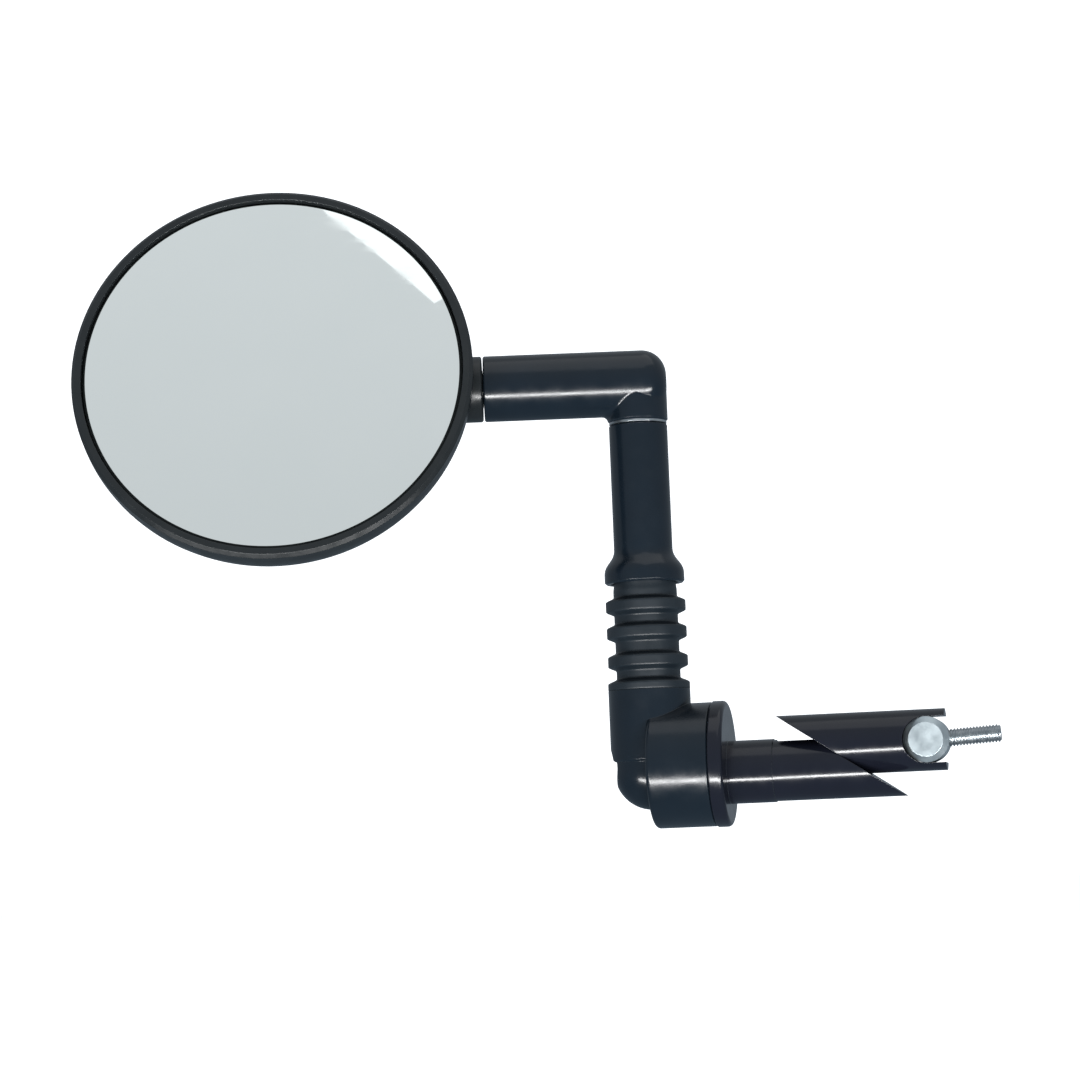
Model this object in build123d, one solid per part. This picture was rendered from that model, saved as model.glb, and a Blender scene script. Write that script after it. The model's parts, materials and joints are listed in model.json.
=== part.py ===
from build123d import *
import math
import os

# Round bar-end bicycle mirror on an adjustable arm with an expanding wedge plug.
# Frame: the origin is on the plug axis at the outer face of the plug flange, +X runs
# into the handlebar, +Z is up and -Y is the side that the mirror faces.
# Millimetres and degrees.

# ---- driving places and angles at rest ----
STEM_X = -17.3            # upright axis of the arm
HUB_Z = 2.0               # hub axis, above the plug axis
FLEX_Z = 31.8             # hinge inside the rubber boot
SEAM_Z = 78.9             # joint line between stem tube and elbow
ARM_Z = 88.0              # axis of the upper arm
ARM_SWIVEL = 11.0         # the upper arm's turn about the stem at rest
HEAD_REACH = 80.5         # stem axis to mirror centre, along the arm
HEAD_TILT = 15.5          # the mirror leans back this much at rest
NECK_REACH = 34.4         # stem axis to the seam between arm and head

# ---- head ----
GLASS_R = 41.9
GLASS_T = 2.0
GLASS_BEND = 600.0        # radius of the convex face
GLASS_EDGE_W = 14.0       # glass edge, in front of the arm axis
GLASS_BEVEL = 0.6
HOUSING_R = 44.3
DISH_DEPTH = 20.0
DISH_W = 12.0             # plane of the widest circle
DISH_CORNER = 14.0        # the shallow dome rounds up into the rim
WALL = 2.0
RIM_FRONT_W = 14.9
RIM_ROUND = 0.8
LEDGE_R = 39.5            # inner edge of the ledge that carries the glass
LEDGE_W = 11.6
GLASS_GAP = 0.25
NECK_R = 7.4
FAIRING_START = 25.0      # the neck tapers into the dish between these
FAIRING_END = 8.0
FAIRING_R = 5.2
BORE_END = 26.0           # blind end of the neck's bore
WINDOW_START = 12.0       # the screwdriver reaches the bore through this window
WINDOW_HALF = 3.4

# ---- swivel joints of head and elbow ----
JOURNAL_R = 4.2
SHANK_R = 3.4
SHANK_LENGTH = 13.0
BUSH_R = 5.2
BUSH_LENGTH = 10.0
RUNNING = 0.05            # radial clearance of a running fit
SEAM_GAP = 0.3
M3_R = 1.5
M3_HEAD_R = 2.75
M3_HEAD_H = 2.0
M3_KEY = 2.5
WASHER_T = 0.8
WASHER_R = 4.9
SPRING_T = 1.0
SPRING_R = 2.9

# ---- upper arm and stem tube ----
ARM_R = NECK_R
ELBOW_R = 6.75
ELBOW_ROUND = 5.5
CROTCH_ROUND = 1.3
SHIM_T = 0.5
SHIM_R = 6.45
TUBE_R = 6.55
BELL_R = 8.9
BELL_BOTTOM_Z = 42.8
BELL_LIP = 2.0
BELL_TOP_Z = 50.6
BELL_CAVITY_R = 7.1
BELL_CAVITY_TOP_Z = 46.9
TONGUE_BORE_R = 4.7
TONGUE_TOP_Z = 60.0
CHAMBER_BOTTOM_Z = 61.0

# ---- hinge in the boot ----
FORK_R = 5.6
FORK_BOTTOM_Z = 9.0
EAR_R = 4.4
FORK_SLOT = 4.9
FORK_SLOT_DEPTH = 5.2
TONGUE_T = 3.9
TONGUE_R = 3.9
SHOULDER_R = 5.55
SHOULDER_BOTTOM_Z = 40.0
FLEX_HEAD_Y = 4.0         # seat of the hinge screw's head
FLEX_NUT_Y = 3.4          # seat of the hinge nut
FLEX_FASTENER_Y = 5.4     # neither end stands out further
M3_NUT_AF = 5.5

# ---- rubber boot ----
RIB_Z = (25.4, 31.8, 37.7)
RIB_R = 8.9
GROOVE_R = 7.1
RIB_HALF_CREST = 0.75
RIB_HALF_FOOT = 1.75
BOOT_WALL = 1.2
BOOT_ROUND = 0.5
BOOT_COLLAR_T = 1.7
BOOT_BOTTOM_R = 5.7

# ---- knuckle ----
LEG_R = 9.1
LEG_TOP_Z = 19.0
LEG_FOOT_Z = 3.2          # the leg steps in to its rounded foot here
FOOT_R = 8.5
FOOT_Z = 1.0
HUB_R = 13.7
HUB_LEFT_X = -16.9
FLANGE_T = 3.2
FLANGE_R = 13.9
FLANGE_GAP = 0.1
HUB_ROUND = 1.0
SPIGOT_R = 5.0
SPIGOT_LENGTH = 5.8
RING_INNER_R = 6.5
RING_OUTER_R = 11.5
RING_T = 0.9
GRUB_R = 2.0
GRUB_Z = 14.0

# ---- expanding plug ----
LAND_R = 6.95
LAND_LENGTH = 10.0
BARREL_R = 6.75
PLUG_TIP_X = 38.8
SLANT = 33.5
SLANT_GAP = 0.05
EXPANDER_Z = 5.2          # the expander's axis at rest
EXPANDER_END_X = 47.6
NUT_X = 43.5
NUT_R = 5.0
NUT_LENGTH = 11.6
NUT_CHAMFER = 1.25
NUT_GAP = 0.06
SCREW_R = 2.0
SCREW_GAP = 0.25          # room round the screw in its slots
SCREW_SEAT_X = -19.5      # centre of the ball seat under the screw head
SCREW_END_X = 59.5
SCREW_LOW = -1.62         # the screw's slope, plug closed
SCREW_HIGH = 3.25         # the screw's slope, plug opened furthest
HEAD_R = 3.5
HEAD_H = 4.0
HEAD_KEY = 3.0
BALL_R = 6.5
BALL_WASHER_R = 4.2
BALL_BACK = 3.9
BALL_GAP = 0.2
COUNTERBORE_R = 4.6
SCREW_HOLE_R = 3.4


def upright(radius, z0, z1, x=0.0, y=0.0):
    """A cylinder along Z."""
    return Pos(x, y, z0) * Cylinder(radius, z1 - z0, align=(Align.CENTER, Align.CENTER, Align.MIN))


def along_x(radius, x0, x1, z=0.0):
    """A cylinder along X."""
    start = Plane(origin=(x0, 0, z), x_dir=(0, 1, 0), z_dir=(1, 0, 0))
    return start.location * Cylinder(radius, x1 - x0, align=(Align.CENTER, Align.CENTER, Align.MIN))


def along_y(radius, y0, y1, x=0.0, z=0.0):
    """A cylinder along Y."""
    start = Plane(origin=(x, y0, z), x_dir=(0, 0, 1), z_dir=(0, 1, 0))
    return start.location * Cylinder(radius, y1 - y0, align=(Align.CENTER, Align.CENTER, Align.MIN))


def turned(*outline):
    """The solid that a closed outline in the XZ plane makes when it turns about Z."""
    edges = [edge for piece in outline for edge in piece.edges()]
    return revolve(Plane.XZ * make_face(edges), Axis.Z)


def along_local_x(shape):
    """Lays a shape that was made along Z down along X."""
    return Plane(origin=(0, 0, 0), x_dir=(0, 1, 0), z_dir=(1, 0, 0)).location * shape


def hexagon(across_flats, z0, z1):
    """A hexagonal prism along Z."""
    flat = RegularPolygon(across_flats / 2, 6, major_radius=False)
    return Pos(0, 0, z0) * extrude(flat, z1 - z0)


def side_slab(points, half_width):
    """A slab with this outline in the XZ plane, centred on Y = 0."""
    face = Plane.XZ * make_face(Polyline(*points, close=True).edges())
    return extrude(face, half_width, both=True)


# ---- places of the moving groups at rest ----
ARM_PLACE = Location((STEM_X, 0, ARM_Z), (0, 0, ARM_SWIVEL))
STEM_PLACE = Location((STEM_X, 0, 0))
TILT = math.radians(HEAD_TILT)
HEAD_PLANE = Plane(
    origin=(-HEAD_REACH, 0, 0), x_dir=(1, 0, 0), z_dir=(0, -math.cos(TILT), math.sin(TILT))
)
HEAD_PLACE = ARM_PLACE * HEAD_PLANE.location
SCREW_SLOPE = math.atan2(EXPANDER_Z - HUB_Z, NUT_X - SCREW_SEAT_X)
SCREW_PLANE = Plane(
    origin=(SCREW_SEAT_X, 0, HUB_Z),
    x_dir=(0, 1, 0),
    z_dir=(math.cos(SCREW_SLOPE), 0, math.sin(SCREW_SLOPE)),
)
NUT_REACH = math.hypot(EXPANDER_Z - HUB_Z, NUT_X - SCREW_SEAT_X)
SCREW_LENGTH = (SCREW_END_X - SCREW_SEAT_X) / math.cos(SCREW_SLOPE)


# ---- head: local Z is the mirror's own axis, local X points back along the arm ----
def mirror_glass():
    """A bent disc of even thickness with a bevelled edge."""
    edge = GLASS_EDGE_W
    flat_r = GLASS_R - GLASS_BEVEL
    crown = GLASS_BEND - math.sqrt(GLASS_BEND**2 - flat_r**2)
    inner_bend = GLASS_BEND - GLASS_T
    hollow = inner_bend - math.sqrt(inner_bend**2 - GLASS_R**2)
    back = edge + crown - GLASS_T
    front = RadiusArc((0, edge + crown), (flat_r, edge), GLASS_BEND)
    rear = RadiusArc((GLASS_R, back - hollow), (0, back), -inner_bend)
    outline = [
        front,
        Polyline((flat_r, edge), (GLASS_R, edge - GLASS_BEVEL), (GLASS_R, back - hollow)),
        rear,
        Line((0, back), (0, edge + crown)),
    ]
    return turned(*outline), back - hollow


def glass_tape(glass_back):
    """The adhesive ring between the housing's ledge and the glass."""
    outer = GLASS_R - GLASS_BEVEL
    return upright(outer, LEDGE_W, glass_back) - upright(LEDGE_R + 0.2, LEDGE_W - 1, glass_back + 1)


def dish_profile(radius, depth, corner, end_r):
    """A shallow dome and the rounded corner that runs up from it, out to end_r."""
    corner_r = radius - corner
    dome = (corner_r**2 + depth**2 - corner**2) / (2 * (depth - corner))
    dome_w = DISH_W - depth + dome
    stretch = dome / (dome - corner)
    join = (corner_r * stretch, dome_w + (DISH_W - dome_w) * stretch)
    end = (end_r, DISH_W - math.sqrt(corner**2 - (end_r - corner_r) ** 2))
    dome_arc = TangentArc((0, DISH_W - depth), join, tangent=(1, 0))
    corner_arc = TangentArc(join, end, tangent=dome_arc % 1)
    return dome_arc, corner_arc, end


def mirror_housing():
    """A dished shell with a rim for the glass and a neck for the arm."""
    rim_foot = RIM_FRONT_W - RIM_ROUND
    dome_arc, corner_arc, rim_start = dish_profile(HOUSING_R, DISH_DEPTH, DISH_CORNER, HOUSING_R)
    rim = Polyline(
        rim_start,
        (HOUSING_R, rim_foot),
        (HOUSING_R - RIM_ROUND, RIM_FRONT_W),
        (0, RIM_FRONT_W),
        (0, DISH_W - DISH_DEPTH),
    )
    shell = turned(dome_arc, corner_arc, rim)
    recess_r = GLASS_R + GLASS_GAP
    inner_dome, inner_corner, ledge_foot = dish_profile(
        HOUSING_R - WALL, DISH_DEPTH - WALL, DISH_CORNER - WALL, LEDGE_R
    )
    hollow = Polyline(
        ledge_foot,
        (LEDGE_R, LEDGE_W),
        (recess_r, LEDGE_W),
        (recess_r, RIM_FRONT_W + 1),
        (0, RIM_FRONT_W + 1),
        (0, DISH_W - DISH_DEPTH + WALL),
    )
    shell -= turned(inner_dome, inner_corner, hollow)
    neck_end = HEAD_REACH - NECK_REACH - SEAM_GAP / 2
    neck_profile = Polyline(
        (0, FAIRING_END),
        (FAIRING_R, FAIRING_END),
        (NECK_R, FAIRING_START),
        (NECK_R, neck_end - 0.3),
        (NECK_R - 0.3, neck_end),
        (0, neck_end),
        close=True,
    )
    shell += along_local_x(turned(neck_profile))
    shell -= along_x(BUSH_R, BORE_END, neck_end + 1)
    window = Box(
        BORE_END + 1 - WINDOW_START,
        2 * WINDOW_HALF,
        NECK_R + 1,
        align=(Align.MIN, Align.CENTER, Align.MIN),
    )
    shell -= Location((WINDOW_START, 0, 0)) * window
    return shell


# ---- one swivel joint: local Z runs from the seam into the part that turns ----
def swivel_post():
    """A metal post: its shank is fixed in the arm, its journal turns in the bush."""
    journal_end = BUSH_LENGTH + 1.0
    post = upright(SHANK_R, -SHANK_LENGTH, 0) + upright(JOURNAL_R, 0, journal_end)
    post = chamfer(post.edges().group_by(Axis.Z)[0], 0.4)
    return post - upright(M3_R, journal_end - 8.0, journal_end + 1)


def swivel_bush():
    """A plain sleeve pressed into the turning part."""
    start = SEAM_GAP + 0.3
    return upright(BUSH_R, start, BUSH_LENGTH + 0.5) - upright(
        JOURNAL_R + RUNNING, start - 1, BUSH_LENGTH + 1
    )


def swivel_washer():
    z0 = BUSH_LENGTH + 1.0
    return upright(WASHER_R, z0, z0 + WASHER_T) - upright(M3_R + 0.1, z0 - 1, z0 + 2)


def swivel_spring():
    """A spring washer, flattened by the screw."""
    z0 = BUSH_LENGTH + 1.0 + WASHER_T
    return upright(SPRING_R, z0, z0 + SPRING_T) - upright(M3_R + 0.1, z0 - 1, z0 + 2)


def swivel_screw():
    """A socket screw up the post."""
    z0 = BUSH_LENGTH + 1.0 + WASHER_T + SPRING_T
    head = upright(M3_HEAD_R, z0, z0 + M3_HEAD_H)
    head = chamfer(head.edges().sort_by(Axis.Z)[-1], 0.3)
    screw = head + upright(M3_R, z0 - 8.0, z0)
    return screw - hexagon(M3_KEY, z0 + M3_HEAD_H - 1.2, z0 + M3_HEAD_H + 1)


HEAD_SEAM = Plane(origin=(-NECK_REACH, 0, 0), x_dir=(0, 1, 0), z_dir=(-1, 0, 0))
HEAD_JOINT_PLACE = ARM_PLACE * HEAD_SEAM.location
STEM_SEAM = Plane(origin=(0, 0, SEAM_Z - ARM_Z + SEAM_GAP), x_dir=(1, 0, 0), z_dir=(0, 0, -1))
STEM_JOINT_PLACE = ARM_PLACE * STEM_SEAM.location


# ---- upper arm: local X = 0 is the stem axis, the arm runs towards -X ----
def upper_arm():
    """Elbow and arm in one moulding, with a rounded crotch and a domed outer corner."""
    bottom = SEAM_Z - ARM_Z + SEAM_GAP
    drop = upright(ELBOW_R, bottom, 0)
    drop = chamfer(drop.edges().sort_by(Axis.Z)[0], 0.35)
    start = -NECK_REACH + SEAM_GAP / 2
    elbow = along_x(ARM_R, start, 2 * ELBOW_R) + drop
    crotch = [edge for edge in elbow.edges() if edge.geom_type == GeomType.BSPLINE]
    elbow = fillet(crotch, CROTCH_ROUND)
    domed = along_x(ARM_R, start, ELBOW_R)
    domed = fillet(domed.edges().sort_by(Axis.X)[-1], ELBOW_ROUND)
    elbow -= along_x(2 * ARM_R, 0, 3 * ELBOW_R) - domed - drop
    elbow = chamfer(elbow.edges().sort_by(Axis.X)[0], 0.3)
    elbow -= along_x(SHANK_R, -NECK_REACH - 1, -NECK_REACH + SHANK_LENGTH)
    return elbow - upright(SHANK_R, bottom - 1, bottom + SHANK_LENGTH)


def seam_shim():
    """The bright thin washer in the joint line under the elbow."""
    low = SEAM_Z - ARM_Z - SHIM_T / 2
    return upright(SHIM_R, low, low + SHIM_T) - upright(JOURNAL_R + 0.2, low - 1, low + 2)


# ---- stem: local X = 0 is the stem axis ----
def stem_tube():
    """The lower tube, which flares to a bell over the top of the boot."""
    top = SEAM_Z - SHIM_T / 2 - RUNNING
    lip_top = BELL_BOTTOM_Z + BELL_LIP
    flare = Spline(
        (TUBE_R, BELL_TOP_Z), (BELL_R, lip_top), tangents=((0, -1), (0, -1))
    )
    outline = [
        Polyline((0, BELL_BOTTOM_Z), (0, top), (TUBE_R - 0.4, top), (TUBE_R, top - 0.4), (TUBE_R, BELL_TOP_Z)),
        flare,
        Polyline(
            (BELL_R, lip_top),
            (BELL_R, BELL_BOTTOM_Z + 0.4),
            (BELL_R - 0.4, BELL_BOTTOM_Z),
            (0, BELL_BOTTOM_Z),
        ),
    ]
    tube = turned(*outline)
    cavity = Polyline(
        (0, BELL_BOTTOM_Z - 1),
        (BELL_CAVITY_R + 0.6, BELL_BOTTOM_Z - 1),
        (BELL_CAVITY_R + 0.5, BELL_BOTTOM_Z),
        (BELL_CAVITY_R, lip_top),
        (BELL_CAVITY_R, BELL_CAVITY_TOP_Z),
        (0, BELL_CAVITY_TOP_Z),
        close=True,
    )
    tube -= turned(cavity)
    tube -= upright(TONGUE_BORE_R, BELL_CAVITY_TOP_Z - 1, CHAMBER_BOTTOM_Z)
    tube -= upright(BUSH_R, CHAMBER_BOTTOM_Z, top + 1)
    return tube


def flex_tongue():
    """The moving half of the hinge in the boot, plugged into the stem tube."""
    blade = side_slab(
        [
            (-TONGUE_R, FLEX_Z),
            (TONGUE_R, FLEX_Z),
            (TONGUE_R, SHOULDER_BOTTOM_Z),
            (-TONGUE_R, SHOULDER_BOTTOM_Z),
        ],
        TONGUE_T / 2,
    )
    blade += along_y(TONGUE_R, -TONGUE_T / 2, TONGUE_T / 2, z=FLEX_Z)
    tongue = blade + upright(SHOULDER_R, SHOULDER_BOTTOM_Z, BELL_CAVITY_TOP_Z)
    plug = upright(TONGUE_BORE_R, BELL_CAVITY_TOP_Z, TONGUE_TOP_Z)
    tongue += chamfer(plug.edges().sort_by(Axis.Z)[-1], 0.5)
    return tongue - along_y(M3_R + 0.06, -TONGUE_T, TONGUE_T, z=FLEX_Z)


def flex_fork():
    """The fixed half of the hinge, set into the knuckle's leg."""
    foot_top = FLEX_Z - FORK_SLOT_DEPTH + 1.0
    fork = upright(FORK_R, FORK_BOTTOM_Z, foot_top)
    fork = chamfer(fork.edges().sort_by(Axis.Z)[0], 0.5)
    ears = side_slab(
        [(-EAR_R, foot_top - 0.5), (EAR_R, foot_top - 0.5), (EAR_R, FLEX_Z), (-EAR_R, FLEX_Z)],
        FORK_R,
    )
    ears += along_y(EAR_R, -FORK_R, FORK_R, z=FLEX_Z)
    fork += ears & upright(FORK_R, foot_top - 0.5, FLEX_Z + EAR_R)
    slot_bottom = FLEX_Z - FORK_SLOT_DEPTH
    slot = Box(3 * FORK_R, FORK_SLOT, 2 * FORK_R, align=(Align.CENTER, Align.CENTER, Align.MIN))
    fork -= Pos(0, 0, slot_bottom) * slot
    fork -= along_y(M3_R, -FORK_R - 1, FORK_R + 1, z=FLEX_Z)
    fork -= along_y(M3_HEAD_R + 0.15, -FORK_R - 1, -FLEX_HEAD_Y, z=FLEX_Z)
    seat = Plane(origin=(0, FLEX_NUT_Y, FLEX_Z), x_dir=(1, 0, 0), z_dir=(0, 1, 0))
    fork -= seat.location * hexagon(M3_NUT_AF + 0.1, 0, FORK_R)
    grub_end = FORK_R - 0.8
    return fork - along_y(GRUB_R, grub_end, FORK_R + 1, z=GRUB_Z)


def flex_washer(side):
    """A friction washer between tongue and fork, on the -Y side for -1 and the +Y side for 1."""
    low, high = sorted((side * (TONGUE_T / 2 + 0.025), side * (FORK_SLOT / 2 - 0.025)))
    return along_y(3.8, low, high, z=FLEX_Z) - along_y(M3_R + 0.06, low - 1, high + 1, z=FLEX_Z)


def flex_screw():
    """The hinge screw, which is also the hinge's pin."""
    head = along_y(M3_HEAD_R, -FLEX_FASTENER_Y, -FLEX_HEAD_Y, z=FLEX_Z)
    screw = head + along_y(M3_R, -FLEX_HEAD_Y, FLEX_FASTENER_Y - 0.2, z=FLEX_Z)
    seat = Plane(origin=(0, -FLEX_FASTENER_Y, FLEX_Z), x_dir=(1, 0, 0), z_dir=(0, -1, 0))
    return screw - seat.location * hexagon(2.0, -0.9, 1)


def flex_nut():
    """The hexagon nut of the hinge screw."""
    seat = Plane(origin=(0, FLEX_NUT_Y, FLEX_Z), x_dir=(1, 0, 0), z_dir=(0, 1, 0))
    nut = hexagon(M3_NUT_AF, 0, FLEX_FASTENER_Y - FLEX_NUT_Y) - upright(M3_R, -1, 9)
    return seat.location * nut


def rubber_boot():
    """The ribbed boot, with a collar on the knuckle and a sleeve up into the bell."""
    collar_top = LEG_TOP_Z + BOOT_COLLAR_T
    sleeve_r = BELL_CAVITY_R - 0.1
    outer = [(BOOT_BOTTOM_R, LEG_TOP_Z), (LEG_R, LEG_TOP_Z), (LEG_R, collar_top), (GROOVE_R, collar_top + 1.0)]
    inner = []
    for z in RIB_Z:
        outer += [
            (GROOVE_R, z - RIB_HALF_FOOT),
            (RIB_R, z - RIB_HALF_CREST),
            (RIB_R, z + RIB_HALF_CREST),
            (GROOVE_R, z + RIB_HALF_FOOT),
        ]
        inner += [
            (GROOVE_R - BOOT_WALL, z - RIB_HALF_FOOT),
            (RIB_R - BOOT_WALL, z - RIB_HALF_CREST / 2),
            (RIB_R - BOOT_WALL, z + RIB_HALF_CREST / 2),
            (GROOVE_R - BOOT_WALL, z + RIB_HALF_FOOT),
        ]
    top = BELL_CAVITY_TOP_Z - 0.1
    sleeve_foot = BELL_BOTTOM_Z - 1.0
    outer += [(GROOVE_R, sleeve_foot), (sleeve_r, top)]
    inner += [(SHOULDER_R + 0.05, SHOULDER_BOTTOM_Z + 1.5), (SHOULDER_R + 0.05, top)]
    inner.insert(0, (BOOT_BOTTOM_R, collar_top + 1.5))
    face = Plane.XZ * make_face(Polyline(*outer, *reversed(inner), close=True).edges())
    soft = [
        v
        for v in face.vertices()
        if collar_top - 0.1 < v.Z < sleeve_foot - 0.2 and v.X > GROOVE_R - 0.01
    ]
    face = fillet(soft, BOOT_ROUND)
    return revolve(face, Axis.Z)


# ---- knuckle ----
def screw_well(end_x):
    """The room for the clamp screw: key access, ball seat and through hole, as one turned solid."""
    seat_r = BALL_R + BALL_GAP
    mouth = STEM_X - LEG_R - 2 - SCREW_SEAT_X
    rim = math.sqrt(seat_r**2 - COUNTERBORE_R**2)
    throat = math.sqrt(seat_r**2 - SCREW_HOLE_R**2)
    seat = RadiusArc((COUNTERBORE_R, rim), (SCREW_HOLE_R, throat), -seat_r)
    walls = Polyline(
        (SCREW_HOLE_R, throat),
        (SCREW_HOLE_R, end_x - SCREW_SEAT_X),
        (0, end_x - SCREW_SEAT_X),
        (0, mouth),
        (COUNTERBORE_R, mouth),
        (COUNTERBORE_R, rim),
    )
    axis = Plane(origin=(SCREW_SEAT_X, 0, HUB_Z), x_dir=(0, 1, 0), z_dir=(1, 0, 0))
    return axis.location * turned(seat, walls)


def base_knuckle():
    """The leg that carries the boot, in one moulding with the hub on the plug axis."""
    leg = upright(LEG_R, LEG_FOOT_Z, LEG_TOP_Z, x=STEM_X)
    leg = chamfer(leg.edges().sort_by(Axis.Z)[0], 0.4)
    leg += upright(FOOT_R, FOOT_Z, LEG_FOOT_Z, x=STEM_X)
    leg += Pos(STEM_X, 0, FOOT_Z) * Sphere(FOOT_R)
    hub_right = -FLANGE_T - FLANGE_GAP
    hub = along_x(HUB_R, HUB_LEFT_X, hub_right, z=HUB_Z)
    hub = fillet(hub.edges().sort_by(Axis.X)[0], HUB_ROUND)
    hub = chamfer(hub.edges().sort_by(Axis.X)[-1], 0.25)
    body = leg + hub
    body -= upright(FORK_R, FORK_BOTTOM_Z, LEG_TOP_Z + 1, x=STEM_X)
    body -= screw_well(hub_right + 1)
    spigot_end = -FLANGE_T - SPIGOT_LENGTH
    body -= along_x(SPIGOT_R + RUNNING, spigot_end - 0.3, hub_right + 1, z=HUB_Z)
    ring_floor = hub_right - RING_T
    ring_groove = along_x(RING_OUTER_R + 0.05, ring_floor, hub_right + 1, z=HUB_Z)
    body -= ring_groove - along_x(RING_INNER_R - 0.05, ring_floor - 1, hub_right + 2, z=HUB_Z)
    return body - along_y(GRUB_R, FORK_R - 1, LEG_R + 1, x=STEM_X, z=GRUB_Z)


def friction_ring():
    """The fibre ring that the flange grips."""
    x1 = -FLANGE_T - FLANGE_GAP / 2
    x0 = -FLANGE_T - FLANGE_GAP - RING_T
    return along_x(RING_OUTER_R, x0, x1, z=HUB_Z) - along_x(RING_INNER_R, x0 - 1, x1 + 1, z=HUB_Z)


def fork_grub():
    """The grub screw that holds the fork in the leg."""
    grub = along_y(GRUB_R, FORK_R - 0.8, LEG_R - 0.6, x=STEM_X, z=GRUB_Z)
    mouth = Plane(origin=(STEM_X, LEG_R - 0.6, GRUB_Z), x_dir=(1, 0, 0), z_dir=(0, 1, 0))
    return grub - mouth.location * hexagon(2.0, -1.8, 1)


# ---- expanding plug ----
def beyond_slant(gap):
    """All that lies above the slanted face, raised by a gap."""
    normal = (math.sin(math.radians(SLANT)), 0, math.cos(math.radians(SLANT)))
    point = (PLUG_TIP_X + normal[0] * gap, 0, -BARREL_R + normal[2] * gap)
    face = Plane(origin=point, x_dir=(0, 1, 0), z_dir=normal)
    return face.location * Box(60, 160, 80, align=(Align.CENTER, Align.CENTER, Align.MIN))


def plug_wedge():
    """The fixed half of the plug with the flange that the hub turns on."""
    flange = along_x(FLANGE_R, -FLANGE_T, 0, z=HUB_Z)
    flange = fillet(flange.edges().sort_by(Axis.X)[-1], HUB_ROUND)
    flange = chamfer(flange.edges().sort_by(Axis.X)[0], 0.25)
    wedge = along_x(LAND_R, -0.5, LAND_LENGTH)
    wedge += along_x(BARREL_R, LAND_LENGTH - 0.5, PLUG_TIP_X + 2)
    wedge -= beyond_slant(0)
    wedge += flange + along_x(SPIGOT_R, -FLANGE_T - SPIGOT_LENGTH, -FLANGE_T + 0.5, z=HUB_Z)
    wedge -= along_x(SCREW_HOLE_R, -FLANGE_T - SPIGOT_LENGTH - 1, 0.2, z=HUB_Z)
    half = SCREW_R + SCREW_GAP
    low_slope = math.tan(math.radians(SCREW_LOW))
    high_slope = math.tan(math.radians(SCREW_HIGH))

    def low(x):
        return HUB_Z + (x - SCREW_SEAT_X) * low_slope - half

    def high(x):
        return HUB_Z + (x - SCREW_SEAT_X) * high_slope + half

    open_x = LAND_LENGTH + 0.6
    end = PLUG_TIP_X + 3
    slot = [
        (-0.2, low(-0.2)),
        (end, low(end)),
        (end, 2 * BARREL_R),
        (open_x, 2 * BARREL_R),
        (open_x, high(open_x)),
        (-0.2, high(-0.2)),
    ]
    return wedge - side_slab(slot, half)


def expander_wedge():
    """The loose half of the plug: its slanted face rides up the fixed half."""
    wedge = along_x(BARREL_R, 0, EXPANDER_END_X, z=EXPANDER_Z) & beyond_slant(SLANT_GAP)
    nut_r = NUT_R + NUT_GAP
    wedge -= along_y(nut_r, -2 * BARREL_R, 2 * BARREL_R, x=NUT_X, z=EXPANDER_Z)
    mouth = Box(3 * NUT_R, 4 * BARREL_R, 2 * nut_r, align=(Align.MIN, Align.CENTER, Align.CENTER))
    wedge -= Pos(NUT_X, 0, EXPANDER_Z) * mouth
    half = SCREW_R + SCREW_GAP
    rise = math.tan(math.radians(SCREW_LOW))
    fall = math.tan(math.radians(SCREW_HIGH))
    reach = NUT_X
    slot = [
        (NUT_X, EXPANDER_Z + half),
        (NUT_X, EXPANDER_Z - half),
        (NUT_X - reach, EXPANDER_Z - reach * fall - half),
        (NUT_X - reach, EXPANDER_Z - reach * rise + half),
    ]
    return wedge - side_slab(slot, half)


def barrel_nut():
    """The cross-drilled round nut in the expander's fork."""
    nut = along_y(NUT_R, -NUT_LENGTH / 2, NUT_LENGTH / 2, x=NUT_X, z=EXPANDER_Z)
    rims = [nut.edges().sort_by(Axis.Y)[0], nut.edges().sort_by(Axis.Y)[-1]]
    nut = chamfer(rims, NUT_CHAMFER)
    hole = upright(SCREW_R + RUNNING, NUT_REACH - 2 * NUT_R, NUT_REACH + 2 * NUT_R)
    return nut - SCREW_PLANE.location * hole


def ball_washer():
    """The washer under the screw head: its round face lets the screw change its slope."""
    cap = Sphere(BALL_R) & upright(BALL_WASHER_R, BALL_BACK, BALL_R + 1)
    return SCREW_PLANE.location * (cap - upright(SCREW_R + 0.1, 0, BALL_R + 1))


def clamp_screw():
    """The long socket screw that draws the plug together."""
    head = upright(HEAD_R, BALL_BACK - HEAD_H, BALL_BACK)
    head = chamfer(head.edges().sort_by(Axis.Z)[0], 0.35)
    shank = upright(SCREW_R, BALL_BACK, SCREW_LENGTH)
    shank = chamfer(shank.edges().sort_by(Axis.Z)[-1], 0.4)
    socket = hexagon(HEAD_KEY, BALL_BACK - HEAD_H - 1, BALL_BACK - HEAD_H + 2.2)
    return SCREW_PLANE.location * (head + shank - socket)


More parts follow.
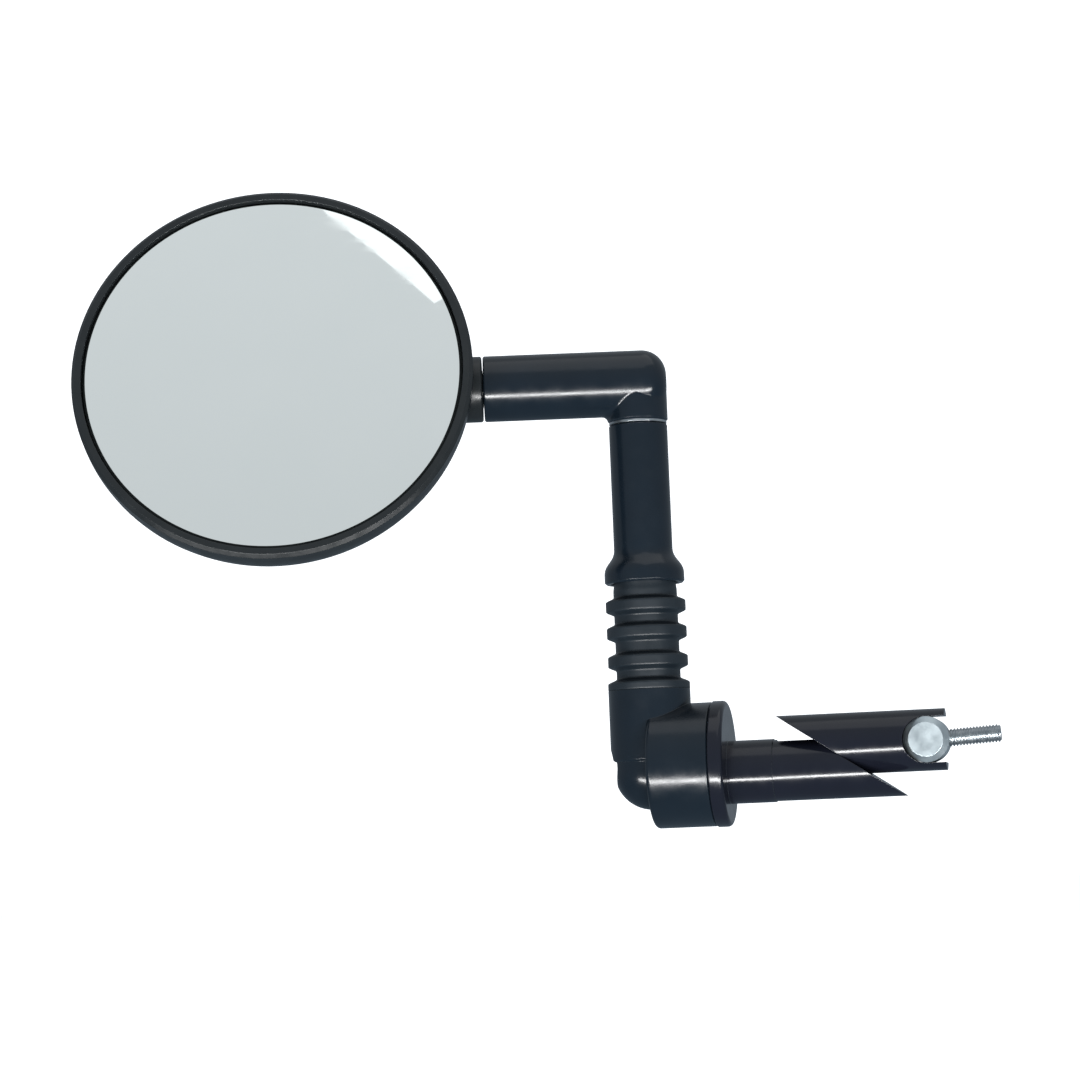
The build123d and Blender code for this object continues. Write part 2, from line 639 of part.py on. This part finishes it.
def all_parts():
    """Every piece at rest, by its name."""
    glass, glass_back = mirror_glass()
    parts = {
        "mirror_glass": HEAD_PLACE * glass,
        "glass_tape": HEAD_PLACE * glass_tape(glass_back),
        "mirror_housing": HEAD_PLACE * mirror_housing(),
        "upper_arm": ARM_PLACE * upper_arm(),
        "seam_shim": ARM_PLACE * seam_shim(),
        "stem_tube": STEM_PLACE * stem_tube(),
        "flex_tongue": STEM_PLACE * flex_tongue(),
        "flex_fork": STEM_PLACE * flex_fork(),
        "flex_washer_near": STEM_PLACE * flex_washer(-1),
        "flex_washer_far": STEM_PLACE * flex_washer(1),
        "flex_screw": STEM_PLACE * flex_screw(),
        "flex_nut": STEM_PLACE * flex_nut(),
        "rubber_boot": STEM_PLACE * rubber_boot(),
        "base_knuckle": base_knuckle(),
        "friction_ring": friction_ring(),
        "fork_grub": fork_grub(),
        "plug_wedge": plug_wedge(),
        "expander_wedge": expander_wedge(),
        "barrel_nut": barrel_nut(),
        "ball_washer": ball_washer(),
        "clamp_screw": clamp_screw(),
    }
    swivel_pieces = {
        "post": swivel_post,
        "bush": swivel_bush,
        "washer": swivel_washer,
        "spring": swivel_spring,
        "screw": swivel_screw,
    }
    for joint, place in (("head", HEAD_JOINT_PLACE), ("elbow", STEM_JOINT_PLACE)):
        for piece, make in swivel_pieces.items():
            parts[f"{joint}_{piece}"] = place * make()
    return parts


os.makedirs("parts", exist_ok=True)
for name, shape in all_parts().items():
    shape.label = name
    export_step(shape, f"parts/{name}.step")
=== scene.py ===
import json
import math

import bpy
from mathutils import Matrix, Vector


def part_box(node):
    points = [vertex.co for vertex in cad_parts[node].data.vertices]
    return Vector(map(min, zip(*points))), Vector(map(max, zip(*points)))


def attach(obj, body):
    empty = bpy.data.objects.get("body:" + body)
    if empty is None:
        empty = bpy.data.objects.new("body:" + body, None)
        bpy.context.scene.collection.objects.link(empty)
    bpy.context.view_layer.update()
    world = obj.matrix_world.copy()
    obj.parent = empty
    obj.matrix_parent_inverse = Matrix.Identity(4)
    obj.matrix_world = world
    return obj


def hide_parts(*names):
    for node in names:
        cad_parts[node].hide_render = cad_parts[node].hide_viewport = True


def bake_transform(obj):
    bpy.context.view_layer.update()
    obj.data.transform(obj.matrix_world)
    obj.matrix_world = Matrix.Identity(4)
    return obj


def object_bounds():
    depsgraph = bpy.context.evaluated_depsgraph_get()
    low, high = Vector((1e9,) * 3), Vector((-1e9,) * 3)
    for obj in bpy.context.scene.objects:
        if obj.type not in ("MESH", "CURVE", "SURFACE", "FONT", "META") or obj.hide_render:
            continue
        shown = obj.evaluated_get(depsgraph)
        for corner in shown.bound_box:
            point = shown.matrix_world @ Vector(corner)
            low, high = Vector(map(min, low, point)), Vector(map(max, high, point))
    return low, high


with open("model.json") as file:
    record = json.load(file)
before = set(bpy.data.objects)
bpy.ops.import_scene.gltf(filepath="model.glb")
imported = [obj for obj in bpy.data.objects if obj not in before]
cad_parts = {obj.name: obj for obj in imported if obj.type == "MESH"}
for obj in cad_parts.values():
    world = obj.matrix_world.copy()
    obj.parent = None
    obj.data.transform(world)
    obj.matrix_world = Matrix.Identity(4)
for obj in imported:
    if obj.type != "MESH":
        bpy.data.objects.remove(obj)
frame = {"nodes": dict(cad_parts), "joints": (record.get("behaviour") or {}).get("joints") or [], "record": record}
cad_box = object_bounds()
nodes = frame["nodes"]
joints = {joint["name"]: joint for joint in frame["joints"]}

# ---- places and sizes from the frame, in metres ----
MM = 0.001
STEM = Vector(joints["flex_tilt"]["pos_m"])
ELBOW = Vector((STEM.x, 0.0, 0.088))
SCREW_SEAT = Vector(joints["screw_spin"]["pos_m"])
SCREW_AXIS = Vector(joints["screw_spin"]["axis"])
NUT_CENTRE = Vector(joints["nut_tilt"]["pos_m"])
GLASS_LOW, GLASS_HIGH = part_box("mirror_glass")
GLASS_CENTRE = (GLASS_LOW + GLASS_HIGH) / 2
HEAD_LEAN = math.radians(15.5)

# ---- clamp screw, M4 ----
SCREW_R = 2.0 * MM
SCREW_LENGTH = 79.1 * MM
THREAD_START = 33.0 * MM
THREAD_PITCH = 0.7 * MM
THREAD_DEPTH = 0.4 * MM
THREAD_ROWS = 8              # rows of mesh for each turn of the thread
TIP_CHAMFER = 0.5 * MM
HEAD_R = 3.5 * MM
HEAD_FACE = -0.1 * MM
HEAD_BACK = 3.9 * MM
KEY_ACROSS = 3.0 * MM
KEY_DEPTH = 2.2 * MM
KNURLS = 36
KNURL_DEPTH = 0.08 * MM
SCREW_SEGMENTS = 72

# ---- rubber boot ----
BOOT_FOOT = 19.0 * MM
COLLAR_TOP = 20.7 * MM
COLLAR_R = 9.1 * MM
GROOVE_R = 7.1 * MM
RIB_R = 8.9 * MM
RIB_Z = (25.4 * MM, 31.8 * MM, 37.7 * MM)
RIB_HALF_CREST = 1.0 * MM
RIB_HALF_FOOT = 2.1 * MM
BOOT_TOP = 46.7 * MM
BOOT_WALL = 1.2 * MM
BOOT_ROW = 0.2 * MM
BOOT_SEGMENTS = 120
SLEEVE_R = 6.95 * MM
SLEEVE_START = 41.0 * MM     # the ribbed part runs into the sleeve between these heights
SLEEVE_FULL = 42.5 * MM
FOOT_TUCK = 0.2 * MM         # how far the lower lip turns in

# ---- convex glass ----
GLASS_R = 41.9 * MM
GLASS_T = 2.0 * MM
GLASS_BEND = 600.0 * MM
GLASS_BEVEL = 0.6 * MM
GLASS_RINGS = 40
GLASS_SEGMENTS = 192

# ---- camera ----
LENS = 100.0
SENSOR = 36.0
AZIMUTH = math.radians(11.0)
ELEVATION = math.radians(-6.0)
ROLL = math.radians(2.25)
DISTANCE = 0.674
AIM_SIDE = -22.96 * MM       # the aimed-at point, from the elbow
AIM_UP = -34.3 * MM

# ---- lights and stage, in metres and watts ----
STRIP_BELOW = math.radians(27)
STRIP_AWAY = 1.2
STRIP_SIZE = (2.2, 0.1)
STRIP_POWER = 38
PANEL_AWAY = 0.9
PANEL_SIZE = (1.1, 1.1)
PANEL_POWER = 1.24
PANEL_COLOUR = (1.0, 0.965, 0.905)
OVERHEAD_SHIFT = (0.3, -0.2, 1.4)
OVERHEAD_SIZE = (1.6, 1.2)
OVERHEAD_POWER = 3.0
FLOOR_DROP = 0.05
FLOOR_R = 3.0
DOME_R = 3.5


# ---- node helpers ----
def material(name, colour, metallic=0.0, roughness=0.4, ior=1.46):
    """A new material with its shader, ready for detail."""
    made = bpy.data.materials.new(name)
    made.use_nodes = True
    shader = made.node_tree.nodes["Principled BSDF"]
    shader.inputs["Base Color"].default_value = (*colour, 1)
    shader.inputs["Metallic"].default_value = metallic
    shader.inputs["Roughness"].default_value = roughness
    shader.inputs["IOR"].default_value = ior
    return made, made.node_tree, shader


def coordinates(tree, centre=(0, 0, 0)):
    """The row frame's coordinates, counted from centre."""
    source = tree.nodes.new("ShaderNodeTexCoord")
    shift = tree.nodes.new("ShaderNodeVectorMath")
    shift.operation = "SUBTRACT"
    shift.inputs[1].default_value = centre
    tree.links.new(source.outputs["Object"], shift.inputs[0])
    return shift.outputs[0]


def noise(tree, where, size, detail=3.0, stretch=(1, 1, 1)):
    """Noise whose spots are about size metres across."""
    scaled = tree.nodes.new("ShaderNodeVectorMath")
    scaled.operation = "MULTIPLY"
    scaled.inputs[1].default_value = stretch
    tree.links.new(where, scaled.inputs[0])
    node = tree.nodes.new("ShaderNodeTexNoise")
    node.inputs["Scale"].default_value = 1 / size
    node.inputs["Detail"].default_value = detail
    tree.links.new(scaled.outputs[0], node.inputs["Vector"])
    return node.outputs["Fac"]


def spread(tree, value, low, high, new_low, new_high):
    """value from low..high onto new_low..new_high."""
    node = tree.nodes.new("ShaderNodeMapRange")
    for socket, number in zip(node.inputs[1:5], (low, high, new_low, new_high)):
        socket.default_value = number
    tree.links.new(value, node.inputs[0])
    return node.outputs[0]


def combined(tree, operation, first, second):
    """first and second put together; second may be a plain number."""
    node = tree.nodes.new("ShaderNodeMath")
    node.operation = operation
    tree.links.new(first, node.inputs[0])
    if isinstance(second, (int, float)):
        node.inputs[1].default_value = second
    else:
        tree.links.new(second, node.inputs[1])
    return node.outputs[0]


def two_colours(tree, value, low, high):
    """A colour that runs from low to high with value."""
    node = tree.nodes.new("ShaderNodeMix")
    node.data_type = "RGBA"
    node.inputs["A"].default_value = (*low, 1)
    node.inputs["B"].default_value = (*high, 1)
    tree.links.new(value, node.inputs["Factor"])
    return node.outputs["Result"]


def rounded_normal(tree, radius):
    """A normal that rounds sharp edges."""
    bevel = tree.nodes.new("ShaderNodeBevel")
    bevel.samples = 6
    bevel.inputs["Radius"].default_value = radius
    return bevel.outputs[0]


def edge_mask(tree, rounded):
    """1 along the edges that the rounded normal turns away at, and 0 on the flats."""
    geometry = tree.nodes.new("ShaderNodeNewGeometry")
    match = tree.nodes.new("ShaderNodeVectorMath")
    match.operation = "DOT_PRODUCT"
    tree.links.new(rounded, match.inputs[0])
    tree.links.new(geometry.outputs["Normal"], match.inputs[1])
    return spread(tree, match.outputs["Value"], 0.97, 0.75, 0.0, 1.0)


def bumped(tree, shader, height, depth, normal=None):
    """Puts a bump of that height field, depth metres deep, on the shader."""
    bump = tree.nodes.new("ShaderNodeBump")
    bump.inputs["Strength"].default_value = 1.0
    bump.inputs["Distance"].default_value = depth
    tree.links.new(height, bump.inputs["Height"])
    if normal is not None:
        tree.links.new(normal, bump.inputs["Normal"])
    tree.links.new(bump.outputs[0], shader.inputs["Normal"])


# ---- materials ----
def moulded(name, colour, gloss, peel, worn, edge=0.25 * MM, ior=1.46):
    """Injection-moulded plastic: soft orange peel, mottled bloom, rubbed edges."""
    made, tree, shader = material(name, colour, roughness=gloss, ior=ior)
    where = coordinates(tree)
    normal = rounded_normal(tree, edge)
    edges = edge_mask(tree, normal)
    bloom = noise(tree, where, 9 * MM, detail=4.0)
    rub = combined(tree, "MULTIPLY", edges, noise(tree, where, 1.2 * MM, detail=5.0))
    tint = two_colours(tree, bloom, [c * 0.8 for c in colour], [c * 1.25 for c in colour])
    worn_tint = tree.nodes.new("ShaderNodeMix")
    worn_tint.data_type = "RGBA"
    worn_tint.inputs["B"].default_value = (*worn, 1)
    tree.links.new(rub, worn_tint.inputs["Factor"])
    tree.links.new(tint, worn_tint.inputs["A"])
    tree.links.new(worn_tint.outputs["Result"], shader.inputs["Base Color"])
    haze = spread(tree, noise(tree, where, 3.5 * MM, detail=6.0), 0.3, 0.7, gloss * 0.8, gloss * 1.3)
    shade = combined(tree, "ADD", haze, combined(tree, "MULTIPLY", rub, 0.25))
    tree.links.new(shade, shader.inputs["Roughness"])
    skin = combined(
        tree,
        "ADD",
        noise(tree, where, 1.4 * MM, detail=1.0),
        combined(tree, "MULTIPLY", noise(tree, where, 0.18 * MM, detail=2.0), 0.15),
    )
    bumped(tree, shader, skin, peel, normal)
    return made


def rubber(name, colour):
    """Moulded rubber: a fine matt grain with a dry bloom in patches."""
    made, tree, shader = material(name, colour, roughness=0.42, ior=1.5)
    where = coordinates(tree)
    normal = rounded_normal(tree, 0.3 * MM)
    bloom = noise(tree, where, 5 * MM, detail=6.0)
    tint = two_colours(tree, bloom, [c * 0.7 for c in colour], [c * 1.5 for c in colour])
    tree.links.new(tint, shader.inputs["Base Color"])
    tree.links.new(spread(tree, bloom, 0.3, 0.7, 0.34, 0.5), shader.inputs["Roughness"])
    bumped(tree, shader, noise(tree, where, 0.12 * MM, detail=3.0), 0.006 * MM, normal)
    return made


def silvered_glass(name):
    """Front mirror: silvered, with faint wiping marks, and a ground edge that is clear glass."""
    made, tree, shader = material(name, (0.86, 0.9, 0.89), metallic=1.0, roughness=0.03)
    where = coordinates(tree, tuple(GLASS_CENTRE))
    geometry = tree.nodes.new("ShaderNodeNewGeometry")
    facing = tree.nodes.new("ShaderNodeVectorMath")
    facing.operation = "DOT_PRODUCT"
    facing.inputs[1].default_value = glass_facing()
    to_object = tree.nodes.new("ShaderNodeVectorTransform")
    to_object.vector_type = "NORMAL"
    to_object.convert_from = "WORLD"
    to_object.convert_to = "OBJECT"
    tree.links.new(geometry.outputs["True Normal"], to_object.inputs[0])
    tree.links.new(to_object.outputs[0], facing.inputs[0])
    silver = spread(tree, facing.outputs["Value"], 0.9, 0.97, 0.0, 1.0)
    haze = noise(tree, where, 22 * MM, detail=3.0)
    sheet = two_colours(tree, haze, (0.84, 0.885, 0.875), (0.88, 0.915, 0.905))
    mixed = tree.nodes.new("ShaderNodeMix")
    mixed.data_type = "RGBA"
    mixed.inputs["A"].default_value = (0.3, 0.34, 0.34, 1)
    tree.links.new(silver, mixed.inputs["Factor"])
    tree.links.new(sheet, mixed.inputs["B"])
    tree.links.new(mixed.outputs["Result"], shader.inputs["Base Color"])
    wipes = noise(tree, where, 2.5 * MM, detail=5.0, stretch=(0.25, 1.0, 1.0))
    film = spread(tree, wipes, 0.45, 0.75, 0.02, 0.07)
    ground = spread(tree, silver, 0.0, 1.0, 0.3, 0.0)
    tree.links.new(combined(tree, "ADD", film, ground), shader.inputs["Roughness"])
    return made


def zinc_steel(name):
    """Zinc-plated steel: a spangled grey, a little rougher where it has been handled."""
    made, tree, shader = material(name, (0.5, 0.53, 0.55), metallic=1.0, roughness=0.32)
    where = coordinates(tree)
    normal = rounded_normal(tree, 0.12 * MM)
    spangle = noise(tree, where, 1.8 * MM, detail=5.0)
    tint = two_colours(tree, spangle, (0.4, 0.44, 0.47), (0.62, 0.64, 0.64))
    tree.links.new(tint, shader.inputs["Base Color"])
    tree.links.new(spread(tree, spangle, 0.3, 0.7, 0.26, 0.42), shader.inputs["Roughness"])
    bumped(tree, shader, noise(tree, where, 0.15 * MM, detail=3.0), 0.004 * MM, normal)
    return made


def turned_alloy(name):
    """Turned aluminium: fine tool rings round the nut's axis on a matt grey."""
    made, tree, shader = material(name, (0.5, 0.56, 0.58), metallic=1.0, roughness=0.42)
    where = coordinates(tree, tuple(NUT_CENTRE))
    normal = rounded_normal(tree, 0.15 * MM)
    rings = tree.nodes.new("ShaderNodeTexWave")
    rings.wave_type = "RINGS"
    rings.rings_direction = "Y"
    rings.inputs["Scale"].default_value = 1400.0
    rings.inputs["Distortion"].default_value = 0.6
    tree.links.new(where, rings.inputs["Vector"])
    cast = noise(tree, where, 3 * MM, detail=5.0)
    tint = two_colours(tree, cast, (0.44, 0.5, 0.52), (0.58, 0.64, 0.66))
    tree.links.new(tint, shader.inputs["Base Color"])
    tree.links.new(spread(tree, cast, 0.3, 0.7, 0.36, 0.5), shader.inputs["Roughness"])
    bumped(tree, shader, rings.outputs["Fac"], 0.004 * MM, normal)
    return made


def plain_matt(name, low, high, grain, depth):
    """Matt fibre, foam or acetal: a speckle between two colours over a grain."""
    made, tree, shader = material(name, low, roughness=0.6)
    where = coordinates(tree)
    speckle = noise(tree, where, grain, detail=6.0)
    tree.links.new(two_colours(tree, speckle, low, high), shader.inputs["Base Color"])
    tree.links.new(spread(tree, speckle, 0.3, 0.7, 0.5, 0.75), shader.inputs["Roughness"])
    bumped(tree, shader, speckle, depth)
    return made


def make_materials():
    """Every material slot of the record, by its name."""
    grey_rub = (0.03, 0.036, 0.04)
    return {
        "housing_black": moulded("housing_black", (0.010, 0.012, 0.013), 0.3, 0.002 * MM, grey_rub),
        "arm_black": moulded("arm_black", (0.005, 0.009, 0.014), 0.2, 0.004 * MM, grey_rub),
        "plug_black": moulded("plug_black", (0.006, 0.007, 0.012), 0.16, 0.003 * MM, grey_rub),
        "boot_rubber": rubber("boot_rubber", (0.006, 0.010, 0.014)),
        "mirror_silver": silvered_glass("mirror_silver"),
        "zinc_steel": zinc_steel("zinc_steel"),
        "nut_alloy": turned_alloy("nut_alloy"),
        "bush_acetal": plain_matt(
            "bush_acetal", (0.008, 0.009, 0.01), (0.016, 0.017, 0.018), 2 * MM, 0.004 * MM
        ),
        "friction_fibre": plain_matt(
            "friction_fibre", (0.14, 0.08, 0.05), (0.3, 0.18, 0.11), 0.5 * MM, 0.03 * MM
        ),
        "tape_foam": plain_matt("tape_foam", (0.2, 0.2, 0.2), (0.36, 0.36, 0.36), 0.3 * MM, 0.05 * MM),
    }


# ---- meshes ----
def ring_mesh(name, rows, segments, place=Matrix.Identity(4), closed=False):
    """A skin over rows of (x, radius function), turned about X; closed joins its ends into a loop."""
    vertices = []
    for x, radius in rows:
        for i in range(segments):
            angle = 2 * math.pi * i / segments
            r = radius(angle, x)
            vertices.append(place @ Vector((x, r * math.cos(angle), r * math.sin(angle))))
    count = len(rows)
    faces = []
    for row in range(count if closed else count - 1):
        here = row * segments
        above = (row + 1) % count * segments
        for i in range(segments):
            j = (i + 1) % segments
            faces.append((here + i, here + j, above + j, above + i))
    if not closed:
        faces.append(tuple(reversed(range(segments))))
        faces.append(tuple((count - 1) * segments + i for i in range(segments)))
    mesh = bpy.data.meshes.new(name)
    mesh.from_pydata(vertices, [], faces)
    mesh.shade_smooth()
    made = bpy.data.objects.new(name, mesh)
    bpy.context.scene.collection.objects.link(made)
    return made


def smooth_step(value, low, high):
    """0 below low, 1 above high and smooth between."""
    t = min(max((value - low) / (high - low), 0.0), 1.0)
    return t * t * (3 - 2 * t)


def steady(radius):
    """A radius that is the same all round."""
    return lambda angle, x: radius


def key_radius(angle, x):
    """The hexagon of the screw's key."""
    side = math.radians(60)
    return KEY_ACROSS / 2 / math.cos((angle + side / 2) % side - side / 2)


def knurled(angle, x):
    """The straight knurl round the screw's head."""
    return HEAD_R - KNURL_DEPTH * (0.5 - 0.5 * math.cos(KNURLS * angle))


def thread_radius(angle, x):
    """A right-hand thread that fades in along the shank and ends in a chamfer."""
    phase = (x / THREAD_PITCH - angle / (2 * math.pi)) % 1.0
    valley = min(max(abs(2 * phase - 1) * 1.25 - 0.12, 0.0), 1.0)
    fade = smooth_step(x, THREAD_START, THREAD_START + 2 * THREAD_PITCH)
    cone = SCREW_R - max(0.0, x - (SCREW_LENGTH - TIP_CHAMFER))
    return min(SCREW_R - THREAD_DEPTH * valley * fade, cone)


def threaded_screw():
    """The socket screw with its key, knurl and thread."""
    rim = 0.35 * MM
    rows = [
        (HEAD_FACE + KEY_DEPTH, key_radius),
        (HEAD_FACE + 0.15 * MM, key_radius),
        (HEAD_FACE, steady(KEY_ACROSS * 0.6)),
        (HEAD_FACE, steady(HEAD_R - rim)),
        (HEAD_FACE + rim, steady(HEAD_R - KNURL_DEPTH)),
        (HEAD_FACE + rim + 0.1 * MM, knurled),
        (HEAD_BACK - 0.3 * MM, knurled),
        (HEAD_BACK - 0.2 * MM, steady(HEAD_R - KNURL_DEPTH)),
        (HEAD_BACK, steady(HEAD_R - 0.25 * MM)),
        (HEAD_BACK, steady(SCREW_R + 0.05 * MM)),
        (HEAD_BACK + 0.1 * MM, steady(SCREW_R)),
        (THREAD_START, steady(SCREW_R)),
    ]
    step = THREAD_PITCH / THREAD_ROWS
    count = int((SCREW_LENGTH - THREAD_START) / step)
    rows += [(THREAD_START + step * (i + 1), thread_radius) for i in range(count)]
    rows.append((SCREW_LENGTH, thread_radius))
    turn = Vector((1, 0, 0)).rotation_difference(SCREW_AXIS).to_matrix().to_4x4()
    screw = ring_mesh("threaded_screw", rows, SCREW_SEGMENTS, Matrix.Translation(SCREW_SEAT) @ turn)
    screw.data.set_sharp_from_angle(angle=math.radians(40))
    return screw


def boot_radius(z):
    """The boot's outside: collar, three round ribs with grooves between, and sleeve."""
    collar = 1 - smooth_step(z, COLLAR_TOP - 0.2 * MM, COLLAR_TOP + 1.0 * MM)
    radius = GROOVE_R + (COLLAR_R - GROOVE_R) * collar
    for rib in RIB_Z:
        crest = 1 - smooth_step(abs(z - rib), RIB_HALF_CREST, RIB_HALF_FOOT)
        radius += (RIB_R - GROOVE_R) * crest
    foot = smooth_step(z, BOOT_FOOT - 0.3 * MM, BOOT_FOOT + 0.25 * MM)
    sleeve = smooth_step(z, SLEEVE_START, SLEEVE_FULL)
    return (radius - FOOT_TUCK * (1 - foot)) * (1 - sleeve) + SLEEVE_R * sleeve


def ribbed_boot():
    """The rubber boot as a skin with an inside, rows close enough to bend."""
    count = int((BOOT_TOP - BOOT_FOOT) / BOOT_ROW)
    heights = [BOOT_FOOT + BOOT_ROW * i for i in range(count + 1)]
    outside = [(z, steady(boot_radius(z))) for z in heights]
    inside = [(z, steady(min(boot_radius(z), RIB_R) - BOOT_WALL)) for z in reversed(heights)]
    stand = Matrix(((0, 1, 0, STEM.x), (0, 0, 1, 0), (1, 0, 0, 0), (0, 0, 0, 1)))
    return ring_mesh("ribbed_boot", outside + inside, BOOT_SEGMENTS, stand, closed=True)


def bend_depth(bend, radius):
    """How far a dome of that bend has fallen away at radius from its middle."""
    return bend - math.sqrt(bend * bend - radius * radius)


def glass_facing():
    """The way the glass faces at rest."""
    facing = Vector((math.sin(AZIMUTH), -math.cos(AZIMUTH), 0)) * math.cos(HEAD_LEAN)
    facing.z = math.sin(HEAD_LEAN)
    return facing


def glass_place():
    """The place of the glass's crown, with X out of its face, taken from its CAD node."""
    node = nodes["mirror_glass"]
    out = glass_facing()
    side = Vector((0, 0, 1)).cross(out).normalized()
    axes = (out, side, out.cross(side))
    points = [node.matrix_world @ vertex.co for vertex in node.data.vertices]
    reach = [[point.dot(axis) for point in points] for axis in axes]
    crown = out * max(reach[0])
    for axis, along in zip(axes[1:], reach[1:]):
        crown += axis * (max(along) + min(along)) / 2
    return Matrix.Translation(crown) @ Matrix(axes).transposed().to_4x4()


def convex_glass():
    """The bent glass with its bevelled edge, smooth right across its face."""
    face_r = GLASS_R - GLASS_BEVEL
    edge = -bend_depth(GLASS_BEND, face_r)
    middle = 0.1 * MM
    steps = [i / GLASS_RINGS for i in range(GLASS_RINGS + 1)]
    back_bend = GLASS_BEND - GLASS_T
    back_radii = [middle + (GLASS_R - middle) * step for step in steps]
    face_radii = [middle + (face_r - middle) * (1 - step) for step in steps]
    rows = [(-GLASS_T - bend_depth(back_bend, r), steady(r)) for r in back_radii]
    rows.append((edge - GLASS_BEVEL, steady(GLASS_R)))
    rows += [(-bend_depth(GLASS_BEND, r), steady(r)) for r in face_radii]
    glass = ring_mesh("convex_glass", rows, GLASS_SEGMENTS, glass_place())
    glass.data.set_sharp_from_angle(angle=math.radians(30))
    return glass


# ---- stage ----
def glowing(name, colour, glow):
    """A plain pale surface with a light of its own."""
    made, tree, shader = material(name, colour, roughness=0.9)
    shader.inputs["Emission Color"].default_value = (*colour, 1)
    shader.inputs["Emission Strength"].default_value = glow
    shader.inputs["Specular IOR Level"].default_value = 0.0
    return made


def unseen_by_light(thing):
    """thing shows in the picture but neither lights nor shades the object."""
    thing.visible_diffuse = False
    thing.visible_glossy = False
    thing.visible_shadow = False
    thing.visible_transmission = False


def make_stage():
    """A pale floor under the object and a pale dome round it."""
    low = cad_box[0][2] - FLOOR_DROP
    bpy.ops.mesh.primitive_circle_add(vertices=96, radius=FLOOR_R, fill_type="NGON", location=(0, 0, low))
    floor = bpy.context.object
    floor.name = "floor"
    floor.data.materials.append(glowing("pale_floor", (0.93, 0.93, 0.93), 0.72))
    bpy.ops.mesh.primitive_uv_sphere_add(segments=64, ring_count=32, radius=DOME_R)
    dome = bpy.context.object
    dome.name = "dome"
    dome.data.materials.append(glowing("pale_dome", (1.0, 1.0, 1.0), 1.0))
    for thing in (floor, dome):
        unseen_by_light(thing)


def aim(thing, target):
    """Turns a light at target."""
    thing.rotation_euler = (target - thing.location).to_track_quat("-Z", "Y").to_euler()


def area_light(name, place, target, width, height, power, colour=(1, 1, 1)):
    """A rectangular studio light."""
    data = bpy.data.lights.new(name, "AREA")
    data.shape = "RECTANGLE"
    data.size = width
    data.size_y = height
    data.energy = power
    data.color = colour
    light = bpy.data.objects.new(name, data)
    light.location = place
    light.visible_camera = False
    bpy.context.scene.collection.objects.link(light)
    aim(light, target)
    return light


def make_world():
    """A dim room, a little lighter overhead."""
    world = bpy.data.worlds.new("room")
    bpy.context.scene.world = world
    world.use_nodes = True
    tree = world.node_tree
    source = tree.nodes.new("ShaderNodeTexCoord")
    split = tree.nodes.new("ShaderNodeSeparateXYZ")
    tree.links.new(source.outputs["Generated"], split.inputs[0])
    height = spread(tree, split.outputs["Z"], -0.4, 1.0, 0.0, 1.0)
    colour = two_colours(tree, height, (0.13, 0.17, 0.21), (0.42, 0.46, 0.5))
    tree.links.new(colour, tree.nodes["Background"].inputs["Color"])
    tree.nodes["Background"].inputs["Strength"].default_value = 1.0


def make_camera_and_lights(glass):
    """The camera, the strip light below its view, the panel the glass shows and an overhead light."""
    right = Vector((math.cos(AZIMUTH), math.sin(AZIMUTH), 0))
    ahead = Vector((
        -math.sin(AZIMUTH) * math.cos(ELEVATION),
        math.cos(AZIMUTH) * math.cos(ELEVATION),
        -math.sin(ELEVATION),
    ))
    up = right.cross(ahead)
    target = ELBOW + right * AIM_SIDE + up * AIM_UP
    rolled_right = right * math.cos(ROLL) - up * math.sin(ROLL)
    rolled_up = right * math.sin(ROLL) + up * math.cos(ROLL)
    data = bpy.data.cameras.new("camera")
    data.lens = LENS
    data.sensor_width = SENSOR
    data.clip_start = 0.01
    camera = bpy.data.objects.new("camera", data)
    turn = Matrix((rolled_right, rolled_up, -ahead)).transposed()
    camera.matrix_world = Matrix.Translation(target - ahead * DISTANCE) @ turn.to_4x4()
    bpy.context.scene.collection.objects.link(camera)
    bpy.context.scene.camera = camera

    strip_way = -ahead * math.cos(STRIP_BELOW) - up * math.sin(STRIP_BELOW)
    area_light("strip", target + strip_way * STRIP_AWAY, target, *STRIP_SIZE, STRIP_POWER)

    facing = glass_facing()
    to_camera = (camera.location - GLASS_CENTRE).normalized()
    mirrored = 2 * facing.dot(to_camera) * facing - to_camera
    panel_place = GLASS_CENTRE + mirrored * PANEL_AWAY
    panel = area_light("mirror_panel", panel_place, GLASS_CENTRE, *PANEL_SIZE, PANEL_POWER, PANEL_COLOUR)
    only_glass = bpy.data.collections.new("seen_in_mirror")
    only_glass.objects.link(glass)
    panel.light_linking.receiver_collection = only_glass
    area_light("overhead", target + Vector(OVERHEAD_SHIFT), target, *OVERHEAD_SIZE, OVERHEAD_POWER)


# ---- the model ----
materials = make_materials()
slot_of = {part["node"]: part["material_slot"] for part in frame["record"]["subparts"]}
for name, node in nodes.items():
    node.data.materials.clear()
    node.data.materials.append(materials[slot_of[name]])

screw = threaded_screw()
screw.data.materials.append(materials["zinc_steel"])
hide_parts("clamp_screw")
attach(screw, "screw")

boot = ribbed_boot()
boot.data.materials.append(materials["boot_rubber"])
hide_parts("rubber_boot")
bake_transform(boot)

glass = convex_glass()
glass.data.materials.append(materials["mirror_silver"])
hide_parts("mirror_glass")
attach(glass, "head")

make_stage()
make_world()
make_camera_and_lights(glass)
bpy.context.scene.view_settings.view_transform = "Standard"
